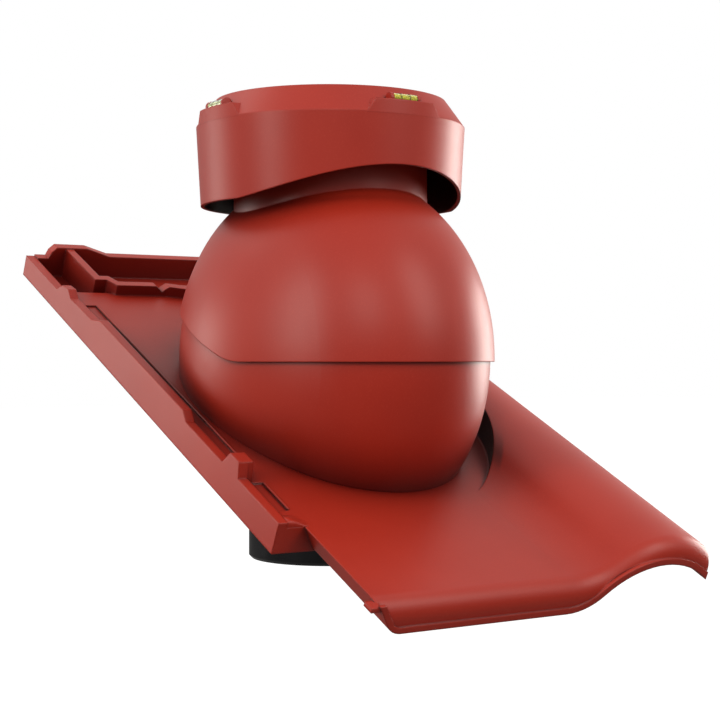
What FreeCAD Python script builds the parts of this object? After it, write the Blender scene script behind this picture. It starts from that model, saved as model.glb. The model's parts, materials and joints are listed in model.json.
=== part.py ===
import FreeCAD, Part
import math
import os
import re

import Sketcher

# Roof tile vent: a moulded tile carries a ball-shaped cowl, and a hood with duct and rain cap tilts on it.
# The origin is the middle of the seat on the roof batten. X runs across the roof, Y up the slope, Z is plumb.
# Tile pieces are drawn in the tile's own plane: X across, Y up the slope, Z normal to the pan.
# Cowl and hood pieces are drawn about the tilt axis, which runs along X.

DRIVING = {
    # roof and tilt axis
    "pitch": 25,
    "hinge_rise": 41.9,
    "seat_v": 245,
    "seat_drop": 17.2,
    # tile
    "pan_left": 94,
    "roll_start": 50,
    "roll_peak_u": 121,
    "roll_peak_w": 23,
    "roll_radius": 62,
    "tile_right": 153,
    "tile_front": 217.4,
    "tile_head": 290,
    "skin": 2.6,
    "apron_drop": 18.9,
    "apron_start": 44.5,
    "apron_peak_u": 114,
    "apron_peak_w": 9.1,
    "apron_radius": 62,
    "fold_radius": 11,
    "well_gap": 20,
    # side wall of the pan and rim of the apron
    "side_slant": 8.7,
    "side_slant_drop": 13.9,
    "corner_width": 11.3,
    "corner_radius": 13,
    "side_inner": 3.1,
    "corner_inner": 18,
    "rim_height": 4.2,
    "rim_out": 1.2,
    "ear_width": 4.5,
    "ear_length": 8,
    "ear_drop": 4,
    # side lock
    "lock_width": 18,
    "lock_front": 132,
    "lock_wall": 6.5,
    "lock_base": 5,
    "lock_top": 3.2,
    "lock_front_right": 80,
    "lock_step": 5.2,
    "lock_step_front": 3,
    "lock_step_back": 150,
    "step_ramp": 7,
    "bump_top": 6.6,
    "bump_back_end": 86,
    "bump_front_end": 69,
    "low_end": 65,
    "low_drop": 4.2,
    "stop_front": 79,
    "stop_back": 57,
    "stop_top": 13,
    "stop_width": 10,
    "stop_ramp": 3,
    "lock_bevel": 1,
    "slot_front": 113,
    "slot_back": 190,
    "slot_width": 4.5,
    "slot_depth": 9,
    "ledge_drop": 1.2,
    # head
    "head_ridge_thick": 8,
    "head_rise": 3.2,
    "head_corner_rise": 9.2,
    "head_corner_left": 3,
    "head_corner_right": 28,
    "head_ramp_end": 48,
    "head_shoulder": 4,
    "head_foot": 4.5,
    "channel_floor": 14.6,
    "ridge_thick": 7.5,
    "ridge_v": 211,
    "ridge_rise": 8,
    "ridge_jog": 10.5,
    "jog_run": 4,
    "ridge_jog_left": 24,
    "ridge_jog_right": 28,
    "notch_u": 32,
    "notch_half": 6.5,
    "notch_depth": 4.5,
    "bend_left": 29,
    "bend_right": 15,
    "bend_run": 4,
    "ridge_right": 76,
    "wall_left": 10.5,
    "wall_thick": 6,
    "hook_width": 22,
    "hook_depth": 14,
    "hook_thick": 6,
    "hook_u": 52,
    # opening for the duct
    "duct_room": 2.5,
    "opening_edge": 11,
    "opening_back": 67.5,
    "collar_wall": 2,
    "collar_depth": 10,
    "flange_thick": 2.5,
    "gasket_thick": 1.5,
    "fit_gap": 0.3,
    "lock_ring_width": 6,
    # cowl and hood
    "hood_half_width": 98.3,
    "hood_radius": 126.5,
    "oval_crown": 84,
    "hood_wall": 2.2,
    "cowl_wall": 2.5,
    "pole_flat": 3,
    "cowl_gap": 0.6,
    "cowl_opening": 79.5,
    "seam_drop": 2.4,
    "seam_front": 40.9,
    "seam_rise": 25,
    "seam_mid": 40,
    "seam_back_rise": 44,
    "seam_back": 112,
    "seam_bend": 18.8,
    "seam_bend_rise": 1.8,
    "seam_dip_run": 8,
    "seam_dip_fall": 3.2,
    "seam_crest_run": 8,
    "seam_crest_radius": 135,
    "seam_dip_radius": 60,
    "neck_foot_room": 10.9,
    "neck_top_room": 9.7,
    "neck_wall": 2.4,
    "neck_top": 140,
    "insulation_low": 113,
    # duct and trunnions
    "duct_radius": 55,
    "duct_wall": 3,
    "duct_bottom": 133.6,
    "duct_top": 148,
    "bead_height": 75,
    "bead_thick": 4,
    "bead_rise": 2,
    "pin_radius": 6,
    "pin_gap": 0.05,
    "pin_end": 88,
    "boss_wall": 4,
    "boss_length": 16,
    "clamp_height": 24,
    "clamp_thick": 3,
    "seat_gap": 0.02,
    "duct_chamfer": 2,
    "bead_bevel": 1,
    # rain cap
    "cap_radius": 90.3,
    "cap_edge_radius": 87.3,
    "cap_edge": 101.3,
    "cap_rim": 153.9,
    "cap_top": 171.5,
    "cap_top_radius": 77.6,
    "cap_wall": 2.3,
    "arch_rise": 20.3,
    "arch_half": 84,
    "pad_top": 162,
    "pad_base_half": 27.9,
    "pad_top_half": 21.8,
    "leg_thick": 3,
    "leg_ring_thick": 4,
    "leg_ring_depth": 16,
    "leg_ring_lip": 3,
    # levels
    "vial_radius": 3.3,
    "vial_wall": 0.7,
    "vial_length": 18,
    "vial_inset": 4.8,
    "vial_rise": 1,
    "plug_radius": 3.6,
    "plug_length": 2.4,
    "plug_gap": 0.1,
    "liquid_gap": 0.03,
    "liquid_end": 0.3,
}

DERIVED = {
    "tile_y": "-(seat_v * cos(pitch) + seat_drop * sin(pitch))",
    "tile_z": "-(seat_v * sin(pitch) - seat_drop * cos(pitch))",
    "hinge_y": "tile_y",
    "opening_half": "duct_radius + duct_room",
    "neck_foot_radius": "duct_radius + neck_foot_room",
    "neck_top_radius": "duct_radius + neck_top_room",
    "hinge_z": "tile_z + hinge_rise",
    "hinge_v": "hinge_rise * sin(pitch)",
    "hinge_w": "hinge_rise * cos(pitch)",
    "roll_run": "roll_peak_u - roll_start",
    "roll_sum": "(roll_run ^ 2 + roll_peak_w ^ 2) / (2 * roll_peak_w)",
    "roll_hollow": "roll_sum - roll_radius",
    "roll_turn_u": "roll_peak_u - roll_run * roll_radius / roll_sum",
    "roll_turn_w": "roll_peak_w * roll_hollow / roll_sum",
    "roll_edge_w": "roll_peak_w - roll_radius + sqrt(roll_radius ^ 2 - (tile_right - roll_peak_u) ^ 2)",
    "apron_run": "apron_peak_u - apron_start",
    "apron_lift": "apron_peak_w + apron_drop",
    "apron_sum": "(apron_run ^ 2 + apron_lift ^ 2) / (2 * apron_lift)",
    "apron_hollow": "apron_sum - apron_radius",
    "apron_turn_u": "apron_peak_u - apron_run * apron_radius / apron_sum",
    "apron_turn_w": "apron_lift * apron_hollow / apron_sum - apron_drop",
    "apron_edge_w": "apron_peak_w - apron_radius + sqrt(apron_radius ^ 2 - (tile_right - apron_peak_u) ^ 2)",
    "oval_centre": "hood_radius - oval_crown",
    "oval_shift": "(oval_centre ^ 2 - (hood_half_width - oval_crown) ^ 2) / (2 * (hood_half_width - oval_crown))",
    "cowl_radius": "hood_radius - hood_wall - cowl_gap",
    "cowl_half_width": "hood_half_width - hood_wall - cowl_gap",
    "foot_scale": "sqrt(1 - (hinge_w / cowl_radius) ^ 2)",
    "foot_u": "cowl_half_width * foot_scale",
    "foot_v": "cowl_radius * foot_scale",
    "opening_front": "foot_v - hinge_v - opening_edge",
    "lock_left": "pan_left + lock_width",
    "wall_inner": "lock_left - lock_wall",
    "head_ridge_v": "tile_head - head_ridge_thick",
    "duct_bore": "duct_radius - duct_wall",
    "bore_radius": "pin_radius + pin_gap",
    "boss_radius": "pin_radius + pin_gap + boss_wall",
    "cowl_inner_half": "cowl_half_width - cowl_wall",
    "bearing_seat": "cowl_inner_half * sqrt(1 - (boss_radius / (cowl_radius - cowl_wall)) ^ 2) - seat_gap",
    "boss_start": "bearing_seat - boss_length",
    "arch_radius": "(arch_half ^ 2 + arch_rise ^ 2) / (2 * arch_rise)",
}

doc = FreeCAD.newDocument("RoofTileVent")
sheet = doc.addObject("Spreadsheet::Sheet", "Sizes")
for number, (name, value) in enumerate(DRIVING.items(), start=1):
    sheet.set(f"A{number}", name)
    sheet.set(f"B{number}", str(value))
    sheet.setAlias(f"B{number}", name)


def formula(text):
    """Write an expression that uses the names of the sheet."""
    names = set(DRIVING) | set(DERIVED)
    return re.sub(r"[a-z_]\w*", lambda word: "Sizes." + word.group() if word.group() in names else word.group(), text)


for number, (name, text) in enumerate(DERIVED.items(), start=1):
    sheet.set(f"D{number}", name)
    sheet.set(f"E{number}", "=" + re.sub(r"\bSizes\.", "", formula(text)))
    sheet.setAlias(f"E{number}", name)
doc.recompute()


def size(name):
    """Read one value of the sheet as a plain number."""
    value = getattr(sheet, name)
    return float(getattr(value, "Value", value))


def bind(item, **texts):
    for key, text in texts.items():
        item.setExpression(key.replace("__", "."), formula(text))
    return item


def place(item, x="0", y="0", z="0"):
    return bind(item, Placement__Base__x=x, Placement__Base__y=y, Placement__Base__z=z)


def box(name, x, y, z):
    """A box between two expressions along each direction."""
    item = doc.addObject("Part::Box", name)
    bind(item, Length=f"({x[1]}) - ({x[0]})", Width=f"({y[1]}) - ({y[0]})", Height=f"({z[1]}) - ({z[0]})")
    return place(item, x[0], y[0], z[0])


def turned(item, direction, angle="90"):
    """Turn a primitive about one direction by an expression."""
    item.Placement = FreeCAD.Placement(FreeCAD.Vector(), FreeCAD.Rotation(direction, 1))
    return bind(item, Placement__Rotation__Angle=angle)


def cylinder(name, radius, low, high, x="0", y="0"):
    item = doc.addObject("Part::Cylinder", name)
    bind(item, Radius=radius, Height=f"({high}) - ({low})")
    return place(item, x, y, low)


def cross_cylinder(name, radius, left, right, y="0", z="0"):
    """A cylinder along X."""
    item = turned(doc.addObject("Part::Cylinder", name), FreeCAD.Vector(0, 1, 0))
    bind(item, Radius=radius, Height=f"({right}) - ({left})")
    return place(item, left, y, z)


def cone(name, low_radius, high_radius, low, high):
    item = doc.addObject("Part::Cone", name)
    bind(item, Radius1=low_radius, Radius2=high_radius, Height=f"({high}) - ({low})")
    return place(item, "0", "0", low)


def ball(name, half_width, radius):
    """A ball that is round about the tilt axis: an oval of three arcs turned about X, with a small flat at each pole.

    Balls of one family share the centres of their arcs, so a shell keeps its wall all round."""
    side = f"({half_width} + oval_shift)"
    crown = f"({radius} - oval_centre)"
    turn_x = f"{side} * oval_shift / (hood_half_width + oval_shift - oval_crown) - oval_shift"
    turn_y = f"{side} * oval_centre / (hood_half_width + oval_shift - oval_crown)"
    pole = f"(sqrt({side} ^ 2 - pole_flat ^ 2) - oval_shift)"
    points = [
        (pole, "0"),
        (pole, "pole_flat", side, 1),
        (turn_x, turn_y, crown, 1),
        (f"-({turn_x})", turn_y, side, 1),
        (f"-{pole}", "pole_flat"),
        (f"-{pole}", "0"),
    ]
    item = doc.addObject("Part::Revolution", name)
    item.Source = sketch(name + "Outline", points, plane="XY")
    item.Axis = FreeCAD.Vector(1, 0, 0)
    item.Angle = 360
    item.Solid = True
    return item


def cut(name, base, *tools):
    """Take the tools away one after the other; the last cut bears the name."""
    for number, tool in enumerate(tools, start=1):
        item = doc.addObject("Part::Cut", name if number == len(tools) else f"{name}Cut{number}")
        item.Base = base
        item.Tool = tool
        base = item
    return base


def fuse(name, *parts):
    item = doc.addObject("Part::MultiFuse", name)
    item.Shapes = list(parts)
    return item


def common(name, *parts):
    item = doc.addObject("Part::MultiCommon", name)
    item.Shapes = list(parts)
    return item


def slot_prism(name, half, front, back, low, high):
    """A long hole's solid with round ends, along the slope."""
    middle = box(name + "Middle", (f"-({half})", half), (f"{half} - ({front})", f"({back}) - ({half})"), (low, high))
    ends = [
        cylinder(name + "Front", half, low, high, y=f"({half}) - ({front})"),
        cylinder(name + "Back", half, low, high, y=f"({back}) - ({half})"),
    ]
    return fuse(name, middle, *ends)


def sketch(name, points, plane="XZ", body=None):
    """A closed outline of straight and round stretches whose corners and radii are bound to the sheet.

    Each point is (across, up) or (across, up, radius, side): the last two describe the round stretch
    that leaves the point, with side 1 where it turns to the left."""
    item = body.newObject("Sketcher::SketchObject", name) if body else doc.addObject("Sketcher::SketchObject", name)
    if body:
        role = plane + "_Plane"
        item.AttachmentSupport = [(feature, "") for feature in body.Origin.OriginFeatures if feature.Role == role]
        item.MapMode = "FlatFace"
    elif plane == "XZ":
        item.Placement = FreeCAD.Placement(FreeCAD.Vector(), FreeCAD.Rotation(FreeCAD.Vector(1, 0, 0), 90))
    corners = [FreeCAD.Vector(number_of(point[0]), number_of(point[1]), 0) for point in points]
    starts = []
    for index, point in enumerate(points):
        here = corners[index]
        there = corners[(index + 1) % len(points)]
        if len(point) == 2:
            item.addGeometry(Part.LineSegment(here, there), False)
            starts.append((1, 2))
            continue
        radius = number_of(point[2])
        chord = there - here
        height = math.sqrt(radius ** 2 - (chord.Length / 2) ** 2)
        side = FreeCAD.Vector(-chord.y, chord.x, 0).normalize() * height * point[3]
        centre = (here + there) * 0.5 + side
        ends = [math.atan2(corner.y - centre.y, corner.x - centre.x) for corner in (here, there)]
        ends = ends if point[3] > 0 else ends[::-1]
        circle = Part.Circle(centre, FreeCAD.Vector(0, 0, 1), radius)
        item.addGeometry(Part.ArcOfCircle(circle, ends[0], ends[1]), False)
        starts.append((1, 2) if point[3] > 0 else (2, 1))
    for index, point in enumerate(points):
        after = (index + 1) % len(points)
        item.addConstraint(Sketcher.Constraint("Coincident", index, starts[index][1], after, starts[after][0]))
        for kind, text, value in (("DistanceX", point[0], corners[index].x), ("DistanceY", point[1], corners[index].y)):
            number = item.addConstraint(Sketcher.Constraint(kind, -1, 1, index, starts[index][0], value))
            item.setExpression(f"Constraints[{number}]", formula(text))
        if len(point) > 2:
            number = item.addConstraint(Sketcher.Constraint("Radius", index, number_of(point[2])))
            item.setExpression(f"Constraints[{number}]", formula(point[2]))
    return item


probe = doc.addObject("App::FeaturePython", "Probe")
probe.addProperty("App::PropertyFloat", "Value")


def number_of(text):
    """The number that an expression gives now."""
    probe.setExpression("Value", formula(text))
    probe.recompute()
    return probe.Value


def extrusion(name, outline, start, end):
    """Run an outline of the XZ plane up the slope."""
    item = doc.addObject("Part::Extrusion", name)
    item.Base = outline
    item.DirMode = "Custom"
    item.Dir = FreeCAD.Vector(0, 1, 0)
    item.Solid = True
    return bind(item, LengthFwd=end, LengthRev=f"-({start})")


def turned_solid(name, points):
    """A solid turned about the vertical axis, for use in cuts and unions."""
    item = doc.addObject("Part::Revolution", name)
    item.Source = sketch(name + "Outline", points)
    item.Axis = FreeCAD.Vector(0, 0, 1)
    item.Angle = 360
    item.Solid = True
    return item


def revolved(name, points):
    """A body turned about the vertical axis from an outline of radius and height."""
    body = doc.addObject("PartDesign::Body", name)
    outline = sketch(name + "Outline", points, body=body)
    turn = body.newObject("PartDesign::Revolution", name + "Turn")
    turn.Profile = outline
    turn.ReferenceAxis = (outline, ["V_Axis"])
    turn.Angle = 360
    return body


def on_tile(item):
    """Set a finished piece on the slope."""
    turned(item, FreeCAD.Vector(1, 0, 0), "pitch")
    return place(item, "0", "tile_y", "tile_z")


def on_hinge(item):
    """Set a finished piece at the tilt axis."""
    return place(item, "0", "hinge_y", "hinge_z")


pieces = []


def keep(label, item):
    item.Label = label
    pieces.append(item)
    return item


def tile_outline(name):
    """The tile's section: pan and roll above, the slanting side wall at the left."""
    return sketch(name, [
        ("-pan_left", "0"),
        ("roll_start", "0", "roll_hollow", 1),
        ("roll_turn_u", "roll_turn_w", "roll_radius", -1),
        ("tile_right", "roll_edge_w"),
        ("tile_right", "-apron_drop"),
        ("side_slant + corner_width - pan_left", "-apron_drop", "corner_radius", -1),
        ("side_slant - pan_left", "-side_slant_drop"),
    ])


def hollow_outline(name):
    """The section of the space under the tile, one skin inside its outline and open below."""
    hollow = "(roll_hollow + skin)"
    crown = "(roll_radius - skin)"
    right = "(tile_right - skin)"
    return sketch(name, [
        ("side_inner - pan_left", "-skin"),
        ("roll_start", "-skin", hollow, 1),
        (
            f"roll_start + roll_run * {hollow} / roll_sum",
            f"roll_hollow - {hollow} * (1 - roll_peak_w / roll_sum)",
            crown,
            -1,
        ),
        (right, f"roll_peak_w - roll_radius + sqrt({crown} ^ 2 - ({right} - roll_peak_u) ^ 2)"),
        (right, "-2 * apron_drop"),
        ("side_inner + 2 * corner_inner - pan_left", "-2 * apron_drop"),
        ("side_inner + corner_inner - pan_left", "-apron_drop"),
    ])


def fold(name, base, inset):
    """Round the long front edge of the tile."""
    doc.recompute()
    item = doc.addObject("Part::Fillet", name)
    item.Base = base
    front = -size("tile_front") + inset
    edges = []
    for number, edge in enumerate(base.Shape.Edges, start=1):
        bounds = edge.BoundBox
        flat = abs(bounds.YMin - front) < 0.01 and abs(bounds.YMax - front) < 0.01
        middle = edge.valueAt((edge.FirstParameter + edge.LastParameter) / 2)
        upper = bounds.XLength > 5 and middle.z > size("roll_peak_w") * (middle.x > size("roll_turn_u")) * 0.55 - inset - 0.1
        if flat and upper:
            radius = size("fold_radius") - inset
            edges.append((number, radius, radius))
    item.Edges = edges
    return item


def ellipse_prism(name, half_u, half_v, low, high):
    """An upright elliptic solid about the cowl's foot."""
    item = doc.addObject("Part::Ellipse", name + "Edge")
    item.Placement = FreeCAD.Placement(FreeCAD.Vector(), FreeCAD.Rotation(FreeCAD.Vector(0, 0, 1), 90))
    bind(item, MajorRadius=half_v, MinorRadius=half_u)
    place(item, "0", "hinge_v", low)
    prism = doc.addObject("Part::Extrusion", name)
    prism.Base = item
    prism.DirMode = "Custom"
    prism.Dir = FreeCAD.Vector(0, 0, 1)
    prism.Solid = True
    return bind(prism, LengthFwd=f"({high}) - ({low})")


def apron_curve(offset):
    """Points of the apron's lower edge from its flat stretch to the right side, drawn up by an offset."""
    hollow = f"(apron_hollow - {offset})"
    crown = f"(apron_radius + {offset})"
    return [
        ("apron_start", f"{offset} - apron_drop", hollow, 1),
        (
            f"apron_start + {hollow} * apron_run / apron_sum",
            f"apron_hollow - apron_drop - {hollow} * (1 - apron_lift / apron_sum)",
            crown,
            -1,
        ),
        ("tile_right", f"apron_peak_w - apron_radius + sqrt({crown} ^ 2 - (tile_right - apron_peak_u) ^ 2)"),
    ]


def apron_rim():
    """The bead along the lower edge of the apron and up its slanting left side."""
    upper = apron_curve("rim_height")
    back = [(upper[2][0], upper[2][1], upper[1][2], 1), (upper[1][0], upper[1][1], upper[0][2], -1), upper[0][:2]]
    lower = apron_curve("0")
    lower[1] = ("apron_turn_u", "apron_turn_w", "apron_radius", -1)
    points = [
        ("-pan_left", "0"),
        ("side_slant - pan_left", "-side_slant_drop", "corner_radius", 1),
        ("side_slant + corner_width - pan_left", "-apron_drop"),
        *lower,
        *back,
        ("side_slant + corner_width - pan_left + 1", "rim_height - apron_drop", "corner_radius - rim_height", -1),
        ("side_slant - pan_left + rim_height", "1 - side_slant_drop"),
        ("rim_height - pan_left", "0"),
    ]
    return extrusion("ApronRim", sketch("RimSection", points), "-tile_front - rim_out", "rim_out - tile_front")


def across(name, points, left, right):
    """Run an outline of the YZ plane across the tile."""
    outline = sketch(name + "Section", points)
    outline.Placement = FreeCAD.Placement(
        FreeCAD.Vector(), FreeCAD.Rotation(FreeCAD.Vector(0, 0, 1), 90) * FreeCAD.Rotation(FreeCAD.Vector(1, 0, 0), 90)
    )
    item = doc.addObject("Part::Extrusion", name)
    item.Base = outline
    item.DirMode = "Custom"
    item.Dir = FreeCAD.Vector(1, 0, 0)
    item.Solid = True
    return bind(item, LengthFwd=right, LengthRev=f"-({left})")


def upright(name, points, low, high):
    """Run an outline of the XY plane along the tile's normal."""
    item = doc.addObject("Part::Extrusion", name)
    item.Base = sketch(name + "Section", points, plane="XY")
    item.DirMode = "Custom"
    item.Dir = FreeCAD.Vector(0, 0, 1)
    item.Solid = True
    return bind(item, LengthFwd=high, LengthRev=f"-({low})")


def side_lock():
    """The channel along the left side: a block, its stepped outer wall and the stop that closes the slot."""
    block = box("LockBlock", ("-wall_inner", "skin - pan_left"), ("-lock_front", "tile_head"), ("-seat_drop", "0"))
    base = box("LockBase", ("-lock_left", "-wall_inner"), ("-lock_front", "tile_head"), ("-seat_drop", "-lock_base"))
    front = box("LockFront", ("-wall_inner", "-lock_front_right"), ("-lock_front", "skin - lock_front"),
                ("-seat_drop", "-skin / 2"))
    wall = across("LockWall", [
        ("-lock_front", "-seat_drop"),
        ("tile_head", "-seat_drop"),
        ("tile_head", "-low_drop"),
        ("tile_head - low_end", "-low_drop / 2"),
        ("tile_head - bump_front_end - step_ramp", "bump_top - lock_bevel"),
        ("tile_head - bump_back_end", "bump_top"),
        ("tile_head - bump_back_end - step_ramp", "lock_top - lock_bevel"),
        ("lock_step_back + step_ramp", "lock_top"),
        ("lock_step_back - step_ramp", "lock_top + lock_step"),
        ("lock_step_front", "lock_top + lock_step"),
        ("lock_step_front - step_ramp", "lock_top"),
        ("-stop_back", "lock_top"),
        ("-stop_back - step_ramp", "stop_top"),
        ("stop_ramp - stop_front", "stop_top"),
        ("-stop_front", "lock_top"),
        ("-lock_front", "lock_top"),
    ], "-lock_left", "-wall_inner")
    stop = across("LockStop", [
        ("-stop_front", "-seat_drop"),
        ("-stop_back", "-seat_drop"),
        ("-stop_back", "0"),
        ("-stop_back - step_ramp", "stop_top"),
        ("stop_ramp - stop_front", "stop_top"),
        ("-stop_front", "0"),
    ], "-wall_inner", "stop_width - lock_left")
    return [block, base, front, wall, stop]


def lock_cuts():
    """The two stretches of the slot, and the low ledge between the slot and the pan."""
    cuts = []
    for name, front, back in (("Front", "-slot_front", "-stop_front"), ("Back", "-stop_back", "slot_back")):
        cuts.append(box("Slot" + name, ("-wall_inner", "slot_width - wall_inner"), (front, back),
                        ("-slot_depth", "skin")))
        cuts.append(box("Ledge" + name, ("slot_width - wall_inner - 1", "-pan_left"), (front, back),
                        ("-ledge_drop", "skin")))
    cuts.append(box("LockHollow", ("skin - lock_left", "-pan_left - skin / 2"),
                    ("skin - lock_front", "ridge_v - skin"), ("-2 * seat_drop", "-slot_depth - skin")))
    return cuts


def head_walls():
    """The stepped wall at the head, the bent ridge in front of its channel and the wall between them."""
    head_section = sketch("HeadSection", [
        ("-lock_left", "-seat_drop"),
        ("ridge_right + skin", "-seat_drop"),
        ("ridge_right + skin", "head_rise"),
        ("head_ramp_end - pan_left", "head_rise"),
        ("head_corner_right - pan_left", "head_corner_rise"),
        ("head_corner_left - pan_left", "head_corner_rise"),
        ("-pan_left - lock_bevel", "head_corner_rise - head_shoulder"),
        ("-pan_left - head_foot", "-low_drop"),
        ("-lock_left", "-low_drop"),
    ])
    head = extrusion("HeadWall", head_section, "head_ridge_v", "tile_head")
    ridge = upright("Ridge", [
        ("wall_left - pan_left", "ridge_v + ridge_jog"),
        ("ridge_jog_left - pan_left - jog_run", "ridge_v + ridge_jog"),
        ("ridge_jog_left - pan_left", "ridge_v"),
        ("-bend_left", "ridge_v"),
        ("-bend_right", "ridge_v - bend_run"),
        ("ridge_right", "ridge_v - bend_run"),
        ("ridge_right", "ridge_v - bend_run + ridge_thick"),
        ("-bend_right", "ridge_v - bend_run + ridge_thick"),
        ("-bend_left", "ridge_v + ridge_thick"),
        ("ridge_jog_right - pan_left", "ridge_v + ridge_thick"),
        ("ridge_jog_right - pan_left - jog_run", "ridge_v + ridge_jog + ridge_thick"),
        ("wall_left - pan_left", "ridge_v + ridge_jog + ridge_thick"),
    ], "-channel_floor", "ridge_rise")
    notch = extrusion("Notch", sketch("NotchSection", [
        ("-notch_u - notch_half", "ridge_rise + 1"),
        ("-notch_u", "ridge_rise - notch_depth"),
        ("notch_half - notch_u", "ridge_rise + 1"),
    ]), "ridge_v - ridge_thick", "ridge_v + 2 * ridge_thick")
    wall = box("HeadPartition", ("wall_left - pan_left", "wall_left + wall_thick - pan_left"),
               ("ridge_v + ridge_jog", "head_ridge_v + 1"), ("-channel_floor - skin / 2", "ridge_rise"))
    return [head, cut("RidgeNotched", ridge, notch), wall]


def make_tile():
    outer = extrusion("TileBlock", tile_outline("TileSection"), "-tile_front", "tile_head")
    outer = fold("TileFold", outer, 0)
    inner = extrusion("TileHollow", hollow_outline("HollowSection"), "skin - tile_front", "tile_head - skin")
    inner = fold("HollowFold", inner, size("skin"))
    well = ellipse_prism("Well", "foot_u + well_gap", "foot_v + well_gap", "0", "2 * roll_peak_w")
    shelf = ellipse_prism("WellShelf", "foot_u + well_gap + skin", "foot_v + well_gap + skin", "-skin", "2 * roll_peak_w")
    channel = box("HeadChannel", ("-wall_inner", "ridge_right"), ("ridge_v + ridge_thick / 2", "head_ridge_v"),
                  ("-channel_floor", "2 * roll_peak_w"))
    tray = box("ChannelShelf", ("-lock_left", "ridge_right + skin"), ("ridge_v + ridge_thick / 2 - skin", "tile_head"),
               ("-seat_drop", "2 * roll_peak_w"))
    core = cut("TileCore", inner, shelf, tray)
    lower = apron_curve("0")
    lower[1] = ("apron_turn_u", "apron_turn_w", "apron_radius", -1)
    below_points = [
        *lower,
        ("tile_right + skin", "apron_edge_w"),
        ("tile_right + skin", "-2 * apron_drop"),
        ("apron_start", "-2 * apron_drop"),
    ]
    below = extrusion("ApronBelow", sketch("ApronSection", below_points), "-tile_front - skin", "tile_head + skin")
    below = cut("BelowTile", below, shelf, tray)
    # the foot of the side wall stops level with the seat on the batten
    level = box("BelowSeat", ("-pan_left", "ridge_right + skin"),
                ("ridge_v + ridge_thick / 2 - skin", "tile_head + skin"), ("-2 * apron_drop", "-seat_drop"))
    shell = cut("TileShell", outer, well, core, below, level)
    rear = box("TrayBase", ("-lock_left", "ridge_right + skin"), ("ridge_v + ridge_thick / 2 - skin", "tile_head"),
               ("-seat_drop", "-skin / 2"))
    # pocket and channel are sunk into the block, then the walls are set in them
    sunk = cut("TileSunk", fuse("TileBlockWhole", shell, rear, *side_lock()), channel, *lock_cuts())
    hooks = [
        box(f"Hook{number}", (f"{side} * hook_u - hook_width / 2", f"{side} * hook_u + hook_width / 2"),
            ("head_ridge_v", "head_ridge_v + hook_thick"), ("-seat_drop - hook_depth", "-seat_drop + skin"))
        for number, side in enumerate((-1, 1))
    ]
    ear = box("Ear", ("-pan_left - ear_width", "skin - pan_left"), ("-tile_front", "ear_length - tile_front"),
              ("-ear_drop", "-skin / 2"))
    whole = fuse("TileWhole", sunk, *head_walls(), apron_rim(), ear, *hooks)
    opening = slot_prism("Opening", "opening_half + collar_wall + fit_gap", "opening_front + collar_wall + fit_gap",
                         "opening_back + collar_wall + fit_gap", "-2 * seat_drop", "ridge_rise")
    keep("tile_base", on_tile(cut("Tile", whole, opening)))


def make_cowl():
    outer = ball("CowlOuter", "cowl_half_width", "cowl_radius")
    inner = ball("CowlInner", "cowl_half_width - cowl_wall", "cowl_radius - cowl_wall")
    top = slot_prism("CowlTop", "opening_half", "cowl_opening", "cowl_opening", "0", "2 * cowl_radius")
    ground = box("CowlGround", ("-2 * cowl_radius", "2 * cowl_radius"), ("-2 * cowl_radius", "2 * cowl_radius"),
                 ("-4 * cowl_radius", "0"))
    outside = cut("CowlOutside", outer, top, lower_to_slope(held("CowlGroundSlope", ground)))
    # flange on the pan and collar through the opening, both drawn on the slope
    plate = ellipse_prism("FlangeEdge", "foot_u - cowl_wall / 2", "foot_v - cowl_wall / 2", "gasket_thick",
                          "gasket_thick + flange_thick")
    collar = slot_prism("Collar", "opening_half + collar_wall", "opening_front + collar_wall",
                        "opening_back + collar_wall", "-collar_depth", "gasket_thick + flange_thick")
    way = slot_prism("CollarWay", "opening_half", "opening_front", "opening_back", "-2 * collar_depth",
                     "4 * flange_thick")
    flange = cut("Flange", fuse("FlangeSolid", plate, collar), way)
    lower_to_slope(flange)
    skirt = cut("CowlSkirt", outside, inner)
    keep("base_cowl", on_hinge(fuse("Cowl", skirt, flange)))
    for label, side in (("left", -1), ("right", 1)):
        ends = ("-bearing_seat", "-boss_start") if side < 0 else ("boss_start", "bearing_seat")
        solid = cross_cylinder("BearingSolid" + label, "boss_radius", *ends)
        bore = cross_cylinder("BearingBore" + label, "bore_radius", f"{ends[0]} - 1", f"{ends[1]} + 1")
        keep(f"trunnion_bearing_{label}", on_hinge(cut("Bearing" + label, solid, bore)))
    gasket_plate = ellipse_prism("GasketEdge", "foot_u - 2 * cowl_wall", "foot_v - 2 * cowl_wall", "0", "gasket_thick")
    gasket_hole = slot_prism("GasketHole", "opening_half + collar_wall + fit_gap",
                             "opening_front + collar_wall + fit_gap", "opening_back + collar_wall + fit_gap",
                             "-1", "2 * gasket_thick")
    keep("cowl_gasket", on_tile(cut("Gasket", gasket_plate, gasket_hole)))
    ring = slot_prism("RingOuter", "opening_half + collar_wall + lock_ring_width",
                      "opening_front + collar_wall + lock_ring_width", "opening_back + collar_wall + lock_ring_width",
                      "-collar_depth", "-skin")
    ring_hole = slot_prism("RingHole", "opening_half + collar_wall + pin_gap", "opening_front + collar_wall + pin_gap",
                           "opening_back + collar_wall + pin_gap", "-2 * collar_depth", "0")
    keep("cowl_lock_ring", on_tile(cut("LockRing", ring, ring_hole)))


def lower_to_slope(item):
    """Set a piece drawn on the slope in the frame of the tilt axis."""
    turned(item, FreeCAD.Vector(1, 0, 0), "pitch")
    return place(item, "0", "0", "-hinge_rise")


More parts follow.
